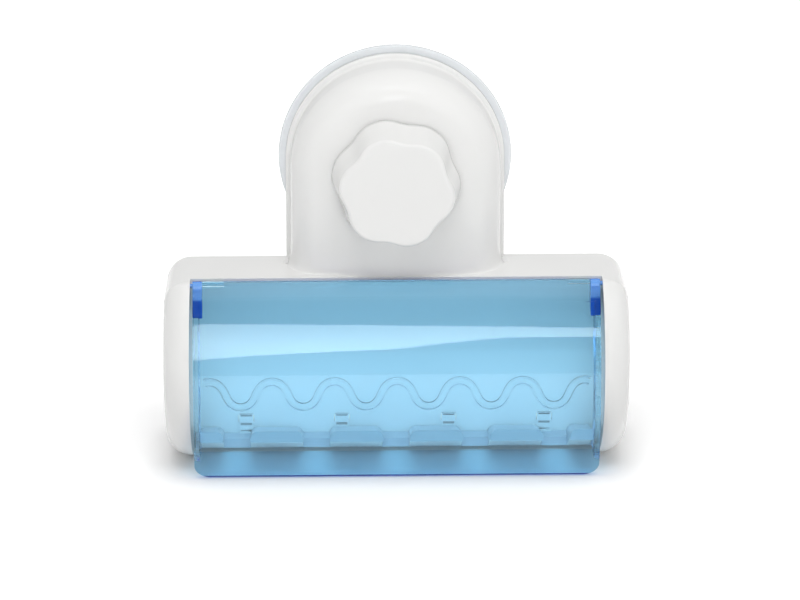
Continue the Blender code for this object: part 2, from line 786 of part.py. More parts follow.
# Joint axes as object origins: the cover on its hinge, the turning and sliding pieces on the stem axis
bpy.context.view_layer.update()
pivot = bpy.data.objects.new("cover_hinge_axis", None)
product.objects.link(pivot)
pivot.location = hinge_point
flip_cover.parent = pivot
flip_cover.matrix_parent_inverse = Matrix.Translation(-hinge_point)
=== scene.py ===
import math

import bpy
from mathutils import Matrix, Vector


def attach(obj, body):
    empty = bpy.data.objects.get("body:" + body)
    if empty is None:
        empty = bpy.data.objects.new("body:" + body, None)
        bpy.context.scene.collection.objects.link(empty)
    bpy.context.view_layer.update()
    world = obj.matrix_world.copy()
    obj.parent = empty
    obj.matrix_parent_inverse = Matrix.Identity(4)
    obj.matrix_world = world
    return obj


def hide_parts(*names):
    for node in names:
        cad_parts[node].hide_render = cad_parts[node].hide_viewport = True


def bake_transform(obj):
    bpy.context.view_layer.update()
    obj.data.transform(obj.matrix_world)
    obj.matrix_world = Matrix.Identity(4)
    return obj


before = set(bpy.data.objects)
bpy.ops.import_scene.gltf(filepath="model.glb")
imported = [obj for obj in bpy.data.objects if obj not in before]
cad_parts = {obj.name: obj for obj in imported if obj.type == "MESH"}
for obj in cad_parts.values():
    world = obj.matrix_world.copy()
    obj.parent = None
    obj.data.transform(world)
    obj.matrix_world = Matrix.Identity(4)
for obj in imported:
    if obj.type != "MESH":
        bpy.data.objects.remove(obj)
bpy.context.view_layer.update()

bpy.ops.object.select_all(action="DESELECT")

# Camera and studio. The holder stands on a white sweep under a large overhead light, with one bright
# window-like panel in front that shows as the band across the clear cover.
standing_level = -0.1202
camera_distance = 2.2
camera_elevation = math.radians(20)
camera_azimuth = math.radians(-1.1)
camera_target = Vector((0.0016, -0.0193, -0.0531))

camera = bpy.data.objects.new("camera", bpy.data.cameras.new("camera"))
bpy.context.scene.collection.objects.link(camera)
camera.data.lens = 255.7
camera.data.sensor_width = 36
camera.data.clip_end = 50
camera.location = camera_distance * Vector((
    math.cos(camera_elevation) * math.sin(camera_azimuth),
    -math.cos(camera_elevation) * math.cos(camera_azimuth),
    math.sin(camera_elevation),
))
camera.rotation_euler = (camera_target - camera.location).to_track_quat("-Z", "Y").to_euler()
bpy.context.scene.camera = camera
bpy.context.scene.view_settings.view_transform = "Standard"


def link(tree, start, end):
    """Join two sockets of a node tree."""
    tree.links.new(start, end)


def node(tree, kind, operation=None, **inputs):
    """Add a node, with its operation and any plain input values (in0, in1, ...)."""
    made = tree.nodes.new("ShaderNode" + kind)
    if operation:
        made.operation = operation
    for key, value in inputs.items():
        made.inputs[int(key[2:])].default_value = value
    return made


def ramp(tree, source, low, high, to_low=0.0, to_high=1.0):
    """A smooth step between two levels of a value."""
    step = node(tree, "MapRange")
    step.interpolation_type = "SMOOTHSTEP"
    step.inputs["From Min"].default_value = low
    step.inputs["From Max"].default_value = high
    step.inputs["To Min"].default_value = to_low
    step.inputs["To Max"].default_value = to_high
    link(tree, source, step.inputs["Value"])
    return step.outputs["Result"]


def combined(tree, operation, first, second):
    """One maths step on two values; either may be a number."""
    step = node(tree, "Math", operation)
    for index, value in enumerate((first, second)):
        if isinstance(value, (int, float)):
            step.inputs[index].default_value = value
        else:
            link(tree, value, step.inputs[index])
    return step.outputs[0]


def open_ray(tree):
    """1 for rays that reach a surface from the camera, or through or off a shiny one."""
    path = node(tree, "LightPath")
    seen = combined(tree, "MAXIMUM", path.outputs["Is Camera Ray"], path.outputs["Is Transmission Ray"])
    return combined(tree, "MAXIMUM", seen, path.outputs["Is Glossy Ray"])


# The white sweep lights up for open rays, less so round the holder's foot: a painted shadow, laid over its
# real shadow there
shadow_half = 0.080
shadow_back = 0.004
shadow_front = 0.030
near_reach = 0.022
far_start = 0.02
far_reach = 0.30
floor_material = bpy.data.materials.new("white_sweep")
floor_material.use_nodes = True
floor_tree = floor_material.node_tree
floor_shader = floor_tree.nodes["Principled BSDF"]
floor_shader.inputs["Base Color"].default_value = (0.9, 0.9, 0.9, 1)
floor_shader.inputs["Roughness"].default_value = 0.9
floor_shader.inputs["Specular IOR Level"].default_value = 0.1
floor_place = node(floor_tree, "TexCoord")
floor_parts = node(floor_tree, "SeparateXYZ")
link(floor_tree, floor_place.outputs["Object"], floor_parts.inputs[0])
across = combined(floor_tree, "ABSOLUTE", floor_parts.outputs["X"], 0)
beyond_side = combined(floor_tree, "MAXIMUM", combined(floor_tree, "SUBTRACT", across, shadow_half), 0)
behind = combined(floor_tree, "SUBTRACT", floor_parts.outputs["Y"], shadow_back)
forward = combined(floor_tree, "MULTIPLY", floor_parts.outputs["Y"], -1)
ahead = combined(floor_tree, "SUBTRACT", forward, shadow_front)
beyond_depth = combined(floor_tree, "MAXIMUM", combined(floor_tree, "MAXIMUM", behind, ahead), 0)
away = node(floor_tree, "Math", "SQRT")
side_square = combined(floor_tree, "POWER", beyond_side, 2)
depth_square = combined(floor_tree, "POWER", beyond_depth, 2)
link(floor_tree, combined(floor_tree, "ADD", side_square, depth_square), away.inputs[0])
near_glow = ramp(floor_tree, away.outputs[0], 0.0, near_reach, 0.0, 0.29)
far_glow = ramp(floor_tree, away.outputs[0], far_start, far_reach, 0.0, 0.20)
both_glows = combined(floor_tree, "ADD", near_glow, far_glow)
glow = node(floor_tree, "Emission")
link(floor_tree, combined(floor_tree, "MULTIPLY", both_glows, open_ray(floor_tree)), glow.inputs["Strength"])
floor_sum = node(floor_tree, "AddShader")
link(floor_tree, floor_shader.outputs[0], floor_sum.inputs[0])
link(floor_tree, glow.outputs[0], floor_sum.inputs[1])
link(floor_tree, floor_sum.outputs[0], floor_tree.nodes["Material Output"].inputs["Surface"])
bpy.ops.mesh.primitive_plane_add(size=8, location=(0, 0, standing_level))
floor = bpy.context.object
floor.name = "floor"
floor.data.materials.append(floor_material)

# The room: white behind, dim in front between the lights, bright overhead. A mirror image of its front is
# dim in the middle and bright at both sides, which rims the knob and the tower.
world = bpy.data.worlds.new("studio")
bpy.context.scene.world = world
world.use_nodes = True
world_tree = world.node_tree
world_way = node(world_tree, "TexCoord")
world_parts = node(world_tree, "SeparateXYZ")
link(world_tree, world_way.outputs["Generated"], world_parts.inputs[0])


def blend_level(first, second, share):
    """Go from one level to another by a share; each may be a number."""
    mix = node(world_tree, "Mix")
    for name, value in (("A", first), ("B", second), ("Factor", share)):
        if isinstance(value, (int, float)):
            mix.inputs[name].default_value = value
        else:
            link(world_tree, value, mix.inputs[name])
    return mix.outputs["Result"]


way_x, way_y, way_z = (world_parts.outputs[name] for name in "XYZ")
walls = blend_level(ramp(world_tree, way_x, -0.1, 0.1, 0.70, 0.98), 0.50, ramp(world_tree, way_y, 0.1, 0.5))
low_front = ramp(world_tree, way_z, 0.24, 0.32, 1.05, 0.02)
ray = node(world_tree, "LightPath")
in_mirror = combined(world_tree, "SUBTRACT", ray.outputs["Is Glossy Ray"], ray.outputs["Is Transmission Ray"])
in_mirror = combined(world_tree, "MAXIMUM", in_mirror, 0)
side_glow = ramp(world_tree, combined(world_tree, "ABSOLUTE", way_x, 0), 0.14, 0.24, 0.02, 1.1)
front_level = blend_level(low_front, side_glow, in_mirror)
room = blend_level(walls, front_level, ramp(world_tree, way_y, -0.62, -0.35, 1.0, 0.0))
room = blend_level(room, blend_level(0.30, 1.1, in_mirror), ramp(world_tree, way_z, 0.79, 0.84))
behind_glow = combined(world_tree, "MULTIPLY", open_ray(world_tree), ramp(world_tree, way_y, -0.05, 0.15))
backdrop = combined(world_tree, "MAXIMUM", ray.outputs["Is Camera Ray"], behind_glow)
world_back = world_tree.nodes["Background"]
world_back.inputs["Color"].default_value = (1, 1, 1, 1)
link(world_tree, blend_level(room, 1.0, backdrop), world_back.inputs["Strength"])

panel_low = 0.9
panel_high = 2.1


def light_panel(name, corners, distance, top_strength, low_strength):
    """A glowing upright panel behind the camera, from (x, z) corners, with a strength at each end."""
    outline = bpy.data.meshes.new(name)
    outline.from_pydata([(x, -distance, z) for x, z in corners], [], [list(range(len(corners)))])
    panel = bpy.data.objects.new(name, outline)
    bpy.context.scene.collection.objects.link(panel)
    made = bpy.data.materials.new(name)
    made.use_nodes = True
    tree = made.node_tree
    tree.nodes.remove(tree.nodes["Principled BSDF"])
    shine = node(tree, "Emission")
    where = node(tree, "SeparateXYZ")
    link(tree, node(tree, "TexCoord").outputs["Object"], where.inputs[0])
    strength = ramp(tree, where.outputs["Z"], panel_low, panel_high, low_strength, top_strength)
    link(tree, strength, shine.inputs["Strength"])
    link(tree, shine.outputs[0], tree.nodes["Material Output"].inputs["Surface"])
    outline.materials.append(made)
    return panel


# The softbox behind the camera is cut low down by a slanting shade; its mirror image is the band across
# the cover
light_panel("softbox", (
    (-0.30, 2.07), (-0.30, 0.45), (-0.121, 0.488), (-0.084, 0.608), (-0.034, 0.703), (0.011, 0.778),
    (0.053, 0.835), (0.076, 0.948), (0.105, 1.082), (0.140, 1.242), (0.164, 1.310), (0.239, 1.31),
    (0.50, 1.31), (0.50, 1.75), (0.251, 1.745), (0.164, 1.838), (0.066, 1.93), (-0.033, 2.014),
    (-0.131, 2.05),
), 2.9, 3.0, 4.2)


def area_light(name, location, aim, width, height, power):
    """Add a soft rectangular light that isn't seen itself, nor in mirrors, nor through the cover."""
    lamp = bpy.data.lights.new(name, "AREA")
    lamp.shape = "RECTANGLE"
    lamp.size = width
    lamp.size_y = height
    lamp.energy = power
    holder = bpy.data.objects.new(name, lamp)
    bpy.context.scene.collection.objects.link(holder)
    holder.location = location
    holder.rotation_euler = (Vector(aim) - Vector(location)).to_track_quat("-Z", "Y").to_euler()
    holder.visible_camera = False
    holder.visible_glossy = False
    holder.visible_transmission = False
    return holder


# The strong key hangs above the front, and a weak one on each side of it
key_distance = 1.5
key_turn = 50
key_aim = (0, 0, -0.05)
key_width = 0.8
key_height = 0.45
for side, tilt, power in ((-1, 60, 1.3), (0, 58, 10.6), (1, 60, 1.1)):
    turn = math.radians(key_turn * side)
    rise = math.radians(tilt)
    key_place = (
        key_distance * math.sin(turn) * math.cos(rise),
        -key_distance * math.cos(turn) * math.cos(rise),
        key_distance * math.sin(rise),
    )
    area_light("key", key_place, key_aim, key_width, key_height, power)

# Two weak fills inside the compartment stand for the light that the clear cover gathers. One faces the
# back wall, the other the fingers' undersides.
fill_width = 0.148
for fill_place, fill_aim, fill_height, power in (
    ((0, -0.030, -0.094), (0, 1, -0.094), 0.022, 0.0066),
    ((0, -0.033, -0.1165), (0, -0.010, -0.1060), 0.006, 0.0022),
):
    fill = area_light("fill", fill_place, fill_aim, fill_width, fill_height, power)
    fill.data.color = (0.79, 0.92, 1.0)

# Brush box. One white ABS moulding, shared with the tower, with a flat roof, a half-round section and ends
# that are rounded all the way round. Each end is a hollow cheek, open to the back, with screw bosses.
def moulded_skin():
    """Every plastic's surface: a fine texture left by the tool, and a slow change of gloss."""
    group = bpy.data.node_groups.new("moulded_skin", "ShaderNodeTree")
    for name, value in (("Grain Size", 900.0), ("Gloss", 0.35), ("Gloss Change", 0.06)):
        socket = group.interface.new_socket(name=name, in_out="INPUT", socket_type="NodeSocketFloat")
        socket.default_value = value
    for name in ("Roughness", "Height"):
        group.interface.new_socket(name=name, in_out="OUTPUT", socket_type="NodeSocketFloat")
    start = group.nodes.new("NodeGroupInput")
    end = group.nodes.new("NodeGroupOutput")
    where = group.nodes.new("ShaderNodeTexCoord")
    grain = group.nodes.new("ShaderNodeTexNoise")
    grain.inputs["Detail"].default_value = 3
    cloud = group.nodes.new("ShaderNodeTexNoise")
    cloud.inputs["Scale"].default_value = 35
    cloud.inputs["Detail"].default_value = 2
    spread = group.nodes.new("ShaderNodeMath")
    spread.operation = "MULTIPLY_ADD"
    group.links.new(where.outputs["Object"], grain.inputs["Vector"])
    group.links.new(where.outputs["Object"], cloud.inputs["Vector"])
    group.links.new(start.outputs["Grain Size"], grain.inputs["Scale"])
    group.links.new(cloud.outputs["Fac"], spread.inputs[0])
    group.links.new(start.outputs["Gloss Change"], spread.inputs[1])
    group.links.new(start.outputs["Gloss"], spread.inputs[2])
    group.links.new(spread.outputs[0], end.inputs["Roughness"])
    group.links.new(grain.outputs["Fac"], end.inputs["Height"])
    return group


skin_group = moulded_skin()


def plastic(name, colour, gloss, gloss_change=0.05, grain=900.0, bump=0.04, bump_depth=0.00006):
    """A moulded plastic with its colour set on the shader and its skin from the shared group."""
    made = bpy.data.materials.new(name)
    made.use_nodes = True
    tree = made.node_tree
    shader = tree.nodes["Principled BSDF"]
    shader.inputs["Base Color"].default_value = (*colour, 1)
    skin = tree.nodes.new("ShaderNodeGroup")
    skin.node_tree = skin_group
    skin.inputs["Grain Size"].default_value = grain
    skin.inputs["Gloss"].default_value = gloss
    skin.inputs["Gloss Change"].default_value = gloss_change
    relief = tree.nodes.new("ShaderNodeBump")
    relief.inputs["Strength"].default_value = bump
    relief.inputs["Distance"].default_value = bump_depth
    tree.links.new(skin.outputs["Roughness"], shader.inputs["Roughness"])
    tree.links.new(skin.outputs["Height"], relief.inputs["Height"])
    tree.links.new(relief.outputs["Normal"], shader.inputs["Normal"])
    return made


white_abs = plastic("white_abs", (0.81, 0.81, 0.80), 0.17, 0.04)


def begin(name, piece):
    """Name the new piece and leave only it selected."""
    bpy.ops.object.select_all(action="DESELECT")
    piece.select_set(True)
    bpy.context.view_layer.objects.active = piece
    piece.name = name
    return piece


def bent_grid(name, rows):
    """Add a grid and bend it to rows of points."""
    bpy.ops.object.select_all(action="DESELECT")
    bpy.ops.mesh.primitive_grid_add(x_subdivisions=len(rows[0]) - 1, y_subdivisions=len(rows) - 1, size=1)
    piece = begin(name, bpy.context.object)
    points = [point for row in rows for point in row]
    for vertex, point in zip(piece.data.vertices, points):
        vertex.co = point
    return piece


def close_up(piece, fill=True):
    """Weld the piece, fill its open ends and turn its faces outwards."""
    begin(piece.name, piece)
    bpy.ops.object.mode_set(mode="EDIT")
    bpy.ops.mesh.select_all(action="SELECT")
    bpy.ops.mesh.remove_doubles(threshold=0.000002)
    bpy.ops.mesh.dissolve_degenerate(threshold=0.000001)
    if fill:
        bpy.ops.mesh.select_all(action="SELECT")
        bpy.ops.mesh.fill_holes(sides=0)
    bpy.ops.mesh.select_all(action="SELECT")
    bpy.ops.mesh.normals_make_consistent(inside=False)
    bpy.ops.object.mode_set(mode="OBJECT")
    return piece


def apply_modifier(piece, kind, **settings):
    """Add a modifier and apply it at once."""
    begin(piece.name, piece)
    modifier = piece.modifiers.new(kind.lower(), kind)
    for key, value in settings.items():
        setattr(modifier, key, value)
    bpy.ops.object.modifier_apply(modifier=modifier.name)
    return piece


def cut(piece, tool, operation="DIFFERENCE"):
    """Apply an exact Boolean with a tool, which is then removed."""
    apply_modifier(piece, "BOOLEAN", operation=operation, solver="EXACT", object=tool)
    bpy.data.objects.remove(tool, do_unlink=True)
    return piece


def soften(piece, width, segments=3, angle=40):
    """Round the sharp edges and shade the piece smoothly."""
    apply_modifier(piece, "BEVEL", width=width, segments=segments, limit_method="ANGLE",
                   angle_limit=math.radians(angle), harden_normals=False)
    begin(piece.name, piece)
    bpy.ops.object.shade_smooth_by_angle(angle=math.radians(50))
    return apply_modifier(piece, "WEIGHTED_NORMAL", keep_sharp=True)


def place(piece, material, body, replaced):
    """Give the piece its finish and its place in the frame, instead of a CAD node."""
    piece.data.materials.clear()
    piece.data.materials.append(material)
    for polygon in piece.data.polygons:
        polygon.material_index = 0
    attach(piece, body)
    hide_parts(replaced)
    return piece


shell_back = 0.002
box_half = 0.0904
box_end_radius = 0.010
box_radius = 0.045
box_middle = -0.076
box_roof = -0.041
box_floor = -0.120
box_front = 0.047
box_back_share = 0.9811
roof_crease = 0.0035
roof_thick = 0.0023
cheek_inner = 0.080
cheek_wall = 0.0025
roof_front = 0.0262
crease_least = 0.0004
cut_over = 0.01
behind_wall = -0.012
hollow_back = -0.015
cheek_back = 0.0045
past_front = 0.06
past_floor = -0.15
boss_radius = 0.0030
boss_front = 0.0215
pilot_radius = 0.0012
pilot_front = 0.0170
socket_inward = 0.006
socket_outward = 0.0018
pin_bore = 0.00098
box_edge = 0.0005


def narrowed(x, f):
    """The box narrows a little towards the wall."""
    return x * (1 - (box_front - f) / (box_front - shell_back) * (1 - box_back_share))


def box_side(inset, back, arc_steps=56, crease_steps=10):
    """Side outline of the box as (f, z), drawn in by the inset."""
    radius = box_radius - inset
    top = box_roof - inset
    bottom = box_floor + inset
    low = math.asin((bottom - box_middle) / radius)
    crease_radius = max(roof_crease - inset, crease_least)
    # The crease is a small arc that touches the roof and the big arc from inside
    centre_z = top - crease_radius
    centre_f = shell_back + math.sqrt((radius - crease_radius) ** 2 - (centre_z - box_middle) ** 2)
    touch = math.atan2(centre_z - box_middle, centre_f - shell_back)
    points = [(back + (centre_f - back) * step / 8, top) for step in range(8)]
    for step in range(crease_steps + 1):
        angle = math.pi / 2 + (touch - math.pi / 2) * step / crease_steps
        along = (centre_f + crease_radius * math.cos(angle), centre_z + crease_radius * math.sin(angle))
        points.append(along)
    for step in range(1, arc_steps + 1):
        angle = touch + (low - touch) * step / arc_steps
        points.append((shell_back + radius * math.cos(angle), box_middle + radius * math.sin(angle)))
    last = points[-1][0]
    points += [(last + (back - last) * step / 3, bottom) for step in range(1, 4)]
    return points


def box_loft(name, inset, back, end_steps=14):
    """The box as a skin through side outlines that shrink at both ends."""
    fillet = box_end_radius - inset
    ends = []
    for step in range(end_steps + 1):
        angle = math.pi / 2 * step / end_steps
        inward = inset + fillet * (1 - math.cos(angle))
        ends.append((box_half - box_end_radius + fillet * math.sin(angle), inward))
    middle_x = [(box_half - box_end_radius) * share for share in (-0.97, -0.5, 0, 0.5, 0.97)]
    stations = [(-x, inward) for x, inward in reversed(ends)] + [(x, inset) for x in middle_x] + ends
    rows = []
    for x, inward in stations:
        outline = box_side(inward, back)
        outline.append(outline[0])
        rows.append([(narrowed(x, f), -f, z) for f, z in outline])
    return close_up(bent_grid(name, rows))


def slab(name, outline, low, high):
    """A plain prism along X through a side outline of (f, z) points."""
    closed = [*outline, outline[0]]
    return close_up(bent_grid(name, [[(narrowed(x, f), -f, z) for f, z in closed] for x in (low, high)]))


brush_box = box_loft("brush_box", 0, shell_back)
compartment = slab("compartment", (
    (behind_wall, box_roof - roof_thick), (behind_wall, box_floor - cut_over),
    (box_front + cut_over, box_floor - cut_over), (box_front + cut_over, box_roof + cut_over),
    (roof_front, box_roof + cut_over), (roof_front, box_roof - roof_thick),
), -cheek_inner, cheek_inner)
cut(brush_box, compartment)
hollow = box_loft("hollow", cheek_wall, hollow_back)
core = slab("core", (
    (cheek_back, 0), (cheek_back, past_floor), (past_front, past_floor), (past_front, 0),
), -cheek_inner - cheek_wall, cheek_inner + cheek_wall)
cut(hollow, core)
cut(brush_box, hollow)


def round_bar(name, radius, centre, low, high, axis="F", steps=48):
    """A round bar along f (centre x, z) or along X (centre f, z)."""
    length = high - low
    middle = (low + high) / 2
    spot = (centre[0], -middle, centre[1]) if axis == "F" else (middle, -centre[0], centre[1])
    turn = (math.pi / 2, 0, 0) if axis == "F" else (0, math.pi / 2, 0)
    bpy.ops.object.select_all(action="DESELECT")
    bpy.ops.mesh.primitive_cylinder_add(
        vertices=steps, radius=radius, depth=length, location=spot, rotation=turn,
    )
    bpy.ops.object.transform_apply()
    return begin(name, bpy.context.object)


boss_offset = 0.0041
screw_across = cheek_inner * box_back_share + boss_offset
screw_levels = (-0.060, -0.104)
hinge_f = 0.0283
hinge_z = -0.0431
for side in (-1, 1):
    for level in screw_levels:
        screw_spot = (side * screw_across, level)
        cut(brush_box, round_bar("boss", boss_radius, screw_spot, cheek_back, boss_front), "UNION")
        cut(brush_box, round_bar("pilot", pilot_radius, screw_spot, 0.0, pilot_front))
    reach = sorted((side * (cheek_inner - socket_inward), side * (cheek_inner + socket_outward)))
    cut(brush_box, round_bar("hinge_socket", pin_bore, (hinge_f, hinge_z), *reach, axis="X"))
soften(brush_box, box_edge)
place(brush_box, white_abs, "housing", "body_shell")

# Tower. The arched part of the same white moulding stands on the roof of the box, hollow behind. Its face
# is slightly domed, its edge has a wide round, and a low lip runs round its back. A sleeve guides the stem.
tower_radius = 0.0404
tower_lip = 0.0423
tower_round = 0.010
tower_wall = 0.0024
dome_front = 0.0295
foot_top = -0.0320
foot_rise = 0.0090
foot_front = 0.0012
foot_sunk = 0.0008
flare_start = 0.008
flare_run = 0.008
dome_drop = 0.005
dome_reach = 0.041
sleeve_radius = 0.0084
sleeve_back = 0.0150
sleeve_sunk = 0.0012
sleeve_front = dome_front - sleeve_sunk
sleeve_bore = 0.0058
bore_back = 0.0100
flat_radius = 0.0300
flat_offset = 0.0343
stem_hole = 0.0044
hole_back = 0.0200
past_dome = 0.0400


def dome(x, z):
    """How far forward the domed face lies."""
    return dome_front - dome_drop * (x * x + z * z) / dome_reach ** 2


def arch(radius, forward, arc_steps=80):
    """An arch of a radius, each point moved forward by a rule, with a small flare at the foot."""
    leg = [(foot_top * step / 8, 0.0) for step in range(1, 9)]
    for step in range(1, 9):
        angle = math.pi / 2 * step / 8
        leg.append((foot_top - foot_rise * math.sin(angle), 1 - math.cos(angle)))
    leg.append((foot_top - foot_rise - foot_sunk, 1.0))
    spread = (tower_lip - tower_radius) * (radius / tower_radius) ** 3
    if radius > tower_radius:
        spread = tower_lip - radius
    points = [(radius + spread * flare, z, flare) for z, flare in reversed(leg)]
    for step in range(arc_steps + 1):
        angle = math.pi * step / arc_steps
        points.append((radius * math.cos(angle), radius * math.sin(angle), 0.0))
    points += [(-radius - spread * flare, z, flare) for z, flare in leg]
    outline = []
    for x, z, flare in points:
        f = forward(x, z)
        out = foot_front * flare * min(max((f - flare_start) / flare_run, 0), 1)
        outline.append((x, -f - out, z))
    return outline


# The lip, its rounded edge and the start of the side wall as (radius, f)
lip_profile = (
    (tower_lip - 0.0003, shell_back), (tower_lip, shell_back + 0.0003), (tower_lip, 0.0038),
    (tower_lip - 0.00015, 0.0043), (tower_lip - 0.0005, 0.0046), (tower_lip - 0.0009, 0.0047),
    (tower_radius + 0.0005, 0.00475), (tower_radius + 0.0002, 0.0049), (tower_radius, 0.0053),
    (tower_radius, 0.0075), (tower_radius, 0.0105),
)
tower_rows = [arch(radius, lambda x, z, f=f: f) for radius, f in lip_profile]
round_steps = 18
for step in range(round_steps + 1):
    angle = math.pi / 2 * step / round_steps
    inward = tower_round * (1 - math.cos(angle))
    drop = tower_round * (1 - math.sin(angle))
    tower_rows.append(arch(tower_radius - inward, lambda x, z, drop=drop: dome(x, z) - drop))
for share in (0.1, 0.22, 0.36, 0.5, 0.64, 0.78, 0.9, 1.0):
    radius = (tower_radius - tower_round) * (1 - share)
    tower_rows.append(arch(radius, dome))
tower = close_up(bent_grid("tower", tower_rows), fill=False)
apply_modifier(tower, "SOLIDIFY", thickness=tower_wall, offset=-1)
cut(tower, round_bar("sleeve", sleeve_radius, (0, 0), sleeve_back, sleeve_front, steps=64), "UNION")
bore = round_bar("sleeve_bore", sleeve_bore, (0, 0), bore_back, dome_front - tower_wall, steps=64)
for side in (-1, 1):
    cut(bore, round_bar("flat", flat_radius, (0, side * flat_offset), 0.0, past_dome, steps=96))
cut(tower, bore)
cut(tower, round_bar("stem_hole", stem_hole, (0, 0), hole_back, past_dome, steps=64))
begin("tower", tower)
bpy.ops.object.shade_smooth_by_angle(angle=math.radians(50))
place(tower, white_abs, "housing", "body_shell")


# Suction cup. A soft, see-through vinyl disc, thin at its rim and thick in the middle, moulded round the
# foot of the stem. Its profile is traced once and spun about the stem's axis.
def spun(name, profile, steps=128):
    """Trace a profile of (radius, f) points and spin it about the Y axis."""
    bpy.ops.object.select_all(action="DESELECT")
    bpy.ops.mesh.primitive_plane_add(size=0.001)
    piece = begin(name, bpy.context.object)
    bpy.ops.object.mode_set(mode="EDIT")
    bpy.ops.mesh.select_all(action="SELECT")
    bpy.ops.mesh.merge(type="CENTER")
    bpy.ops.mesh.select_all(action="SELECT")
    at = Vector((0, 0, 0))
    first = True
    for radius, f in profile:
        here = Vector((radius, -f, 0))
        if first:
            bpy.ops.transform.translate(value=here - at)
            first = False
        else:
            bpy.ops.mesh.extrude_region_move(TRANSFORM_OT_translate={"value": here - at})
        at = here
    bpy.ops.mesh.select_all(action="SELECT")
    bpy.ops.mesh.spin(steps=steps, angle=2 * math.pi, center=(0, 0, 0), axis=(0, 1, 0))
    bpy.ops.object.mode_set(mode="OBJECT")
    return close_up(piece, fill=False)


def eased(points, parts=5):
    """Run a smooth curve through the points of a profile."""
    smooth = []
    for index in range(len(points) - 1):
        before = Vector(points[max(index - 1, 0)])
        here, after = Vector(points[index]), Vector(points[index + 1])
        beyond = Vector(points[min(index + 2, len(points) - 1)])
        for part in range(parts):
            t = part / parts
            smooth.append(tuple(
                0.5 * (2 * here + (after - before) * t + (2 * before - 5 * here + 4 * after - beyond) * t ** 2
                       + (3 * here - before - 3 * after + beyond) * t ** 3)
            ))
    smooth.append(tuple(points[-1]))
    return smooth


cup_front = eased(((0.0450, 0.0004), (0.04485, 0.0012), (0.0440, 0.0016), (0.0395, 0.00168), (0.0360, 0.0024),
                   (0.0290, 0.0040), (0.0200, 0.0061), (0.0125, 0.0074), (0.0112, 0.0086), (0.0105, 0.0118),
                   (0.0099, 0.0124)))
cup_back = eased(((0.0, 0.0036), (0.0120, 0.0035), (0.0240, 0.0024), (0.0350, 0.0009), (0.0400, 0.0003),
                  (0.0430, 0.00007), (0.0446, 0.00012), (0.0450, 0.0004)))
cup_foot = ((0.00415, 0.0124), (0.00415, 0.00815), (0.00865, 0.00815), (0.00865, 0.00585), (0.0, 0.00585))
suction_cup = spun("vinyl_cup", [*cup_back[:-1], *cup_front, *cup_foot], 160)
begin("vinyl_cup", suction_cup)
bpy.ops.object.shade_smooth_by_angle(angle=math.radians(45))
vinyl = plastic("soft_vinyl", (0.90, 0.93, 0.955), 0.18, 0.05, 300.0, 0.02)
vinyl_shader = vinyl.node_tree.nodes["Principled BSDF"]
vinyl_shader.inputs["Transmission Weight"].default_value = 0.3
vinyl_shader.inputs["IOR"].default_value = 1.45
suction_cup.data.materials.append(vinyl)
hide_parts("suction_cup")
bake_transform(suction_cup)

# Back plate. A flat white ABS moulding, screwed from behind to the bosses in the cheeks. It is the bright
# wall behind the brushes, and keeps its CAD shape. Its white is set lighter than the shell's white: painted
# light on the wall.
painted_light_white = plastic("painted_light_white", (0.93, 0.935, 0.94), 0.30)
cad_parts["back_plate"].data.materials.clear()
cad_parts["back_plate"].data.materials.append(painted_light_white)

# Comb rack. White ABS fingers rise towards the front, with a slot for a handle between each two, and four
# clips snap into the back plate. It copies the CAD rack, with a web under each finger and grooved clips.
def copied(node_name, name):
    """A welded copy of a CAD node."""
    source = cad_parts[node_name]
    twin = bpy.data.objects.new(name, source.data.copy())
    bpy.context.scene.collection.objects.link(twin)
    begin(name, twin)
    bpy.ops.object.mode_set(mode="EDIT")
    bpy.ops.mesh.select_all(action="SELECT")
    bpy.ops.mesh.remove_doubles(threshold=0.000005)
    bpy.ops.mesh.dissolve_limited(angle_limit=math.radians(0.5))
    bpy.ops.object.mode_set(mode="OBJECT")
    return twin


def straight_slab(name, section, low, high):
    """A prism along X that doesn't narrow."""
    closed = [*section, section[0]]
    return close_up(bent_grid(name, [[(x, -f, z) for f, z in closed] for x in (low, high)]))


rack = copied("comb_rack", "finger_rack")
rack_back = 0.0045
rack_reach = 0.0760
slot_width = 0.0104
slot_count = 5
end_finger = 0.0088
slot_pitch = 2 * (rack_reach - end_finger - slot_width / 2) / (slot_count - 1)
web_inset = 0.0001
web_section = ((0.0368, -0.1030), (0.0364, -0.1037), (0.0112, -0.1177), (0.0106, -0.1160), (0.0112, -0.1110))
clip_face = 0.0011
groove_width = 0.0044
groove_depth = 0.0014
rack_edge = 0.0003
finger_edges = [-rack_reach]
for number in range(slot_count):
    slot_middle = (number - (slot_count - 1) / 2) * slot_pitch
    finger_edges += [slot_middle - slot_width / 2, slot_middle + slot_width / 2]
finger_edges.append(rack_reach)
for left, right in zip(finger_edges[::2], finger_edges[1::2]):
    cut(rack, straight_slab("web", web_section, left + web_inset, right - web_inset), "UNION")
clip_spots = [share * slot_pitch for share in (-1.887, -0.677, 0.677, 1.887)]
for spot in clip_spots:
    for level, height in ((-0.1068, 0.0006), (-0.1103, 0.0010), (-0.1131, 0.0006)):
        bpy.ops.object.select_all(action="DESELECT")
        middle = (spot, -rack_back - clip_face, level)
        bpy.ops.mesh.primitive_cube_add(size=1, location=middle, scale=(groove_width, groove_depth, height))
        bpy.ops.object.transform_apply(location=True, rotation=True, scale=True)
        cut(rack, begin("groove", bpy.context.object))
soften(rack, rack_edge, 2, 50)
# The rack is white ABS, coloured grey-blue here as painted shade for the dim blue light under the cover
rack_painted_shade = plastic("rack_painted_shade", (0.55, 0.61, 0.69), 0.30)
place(rack, rack_painted_shade, "housing", "comb_rack")
rack.data.materials.append(painted_light_white)
# Grey painted shade for the grooves in the clips
groove_painted_shade = plastic("groove_painted_shade", (0.52, 0.55, 0.58), 0.5)
rack.data.materials.append(groove_painted_shade)
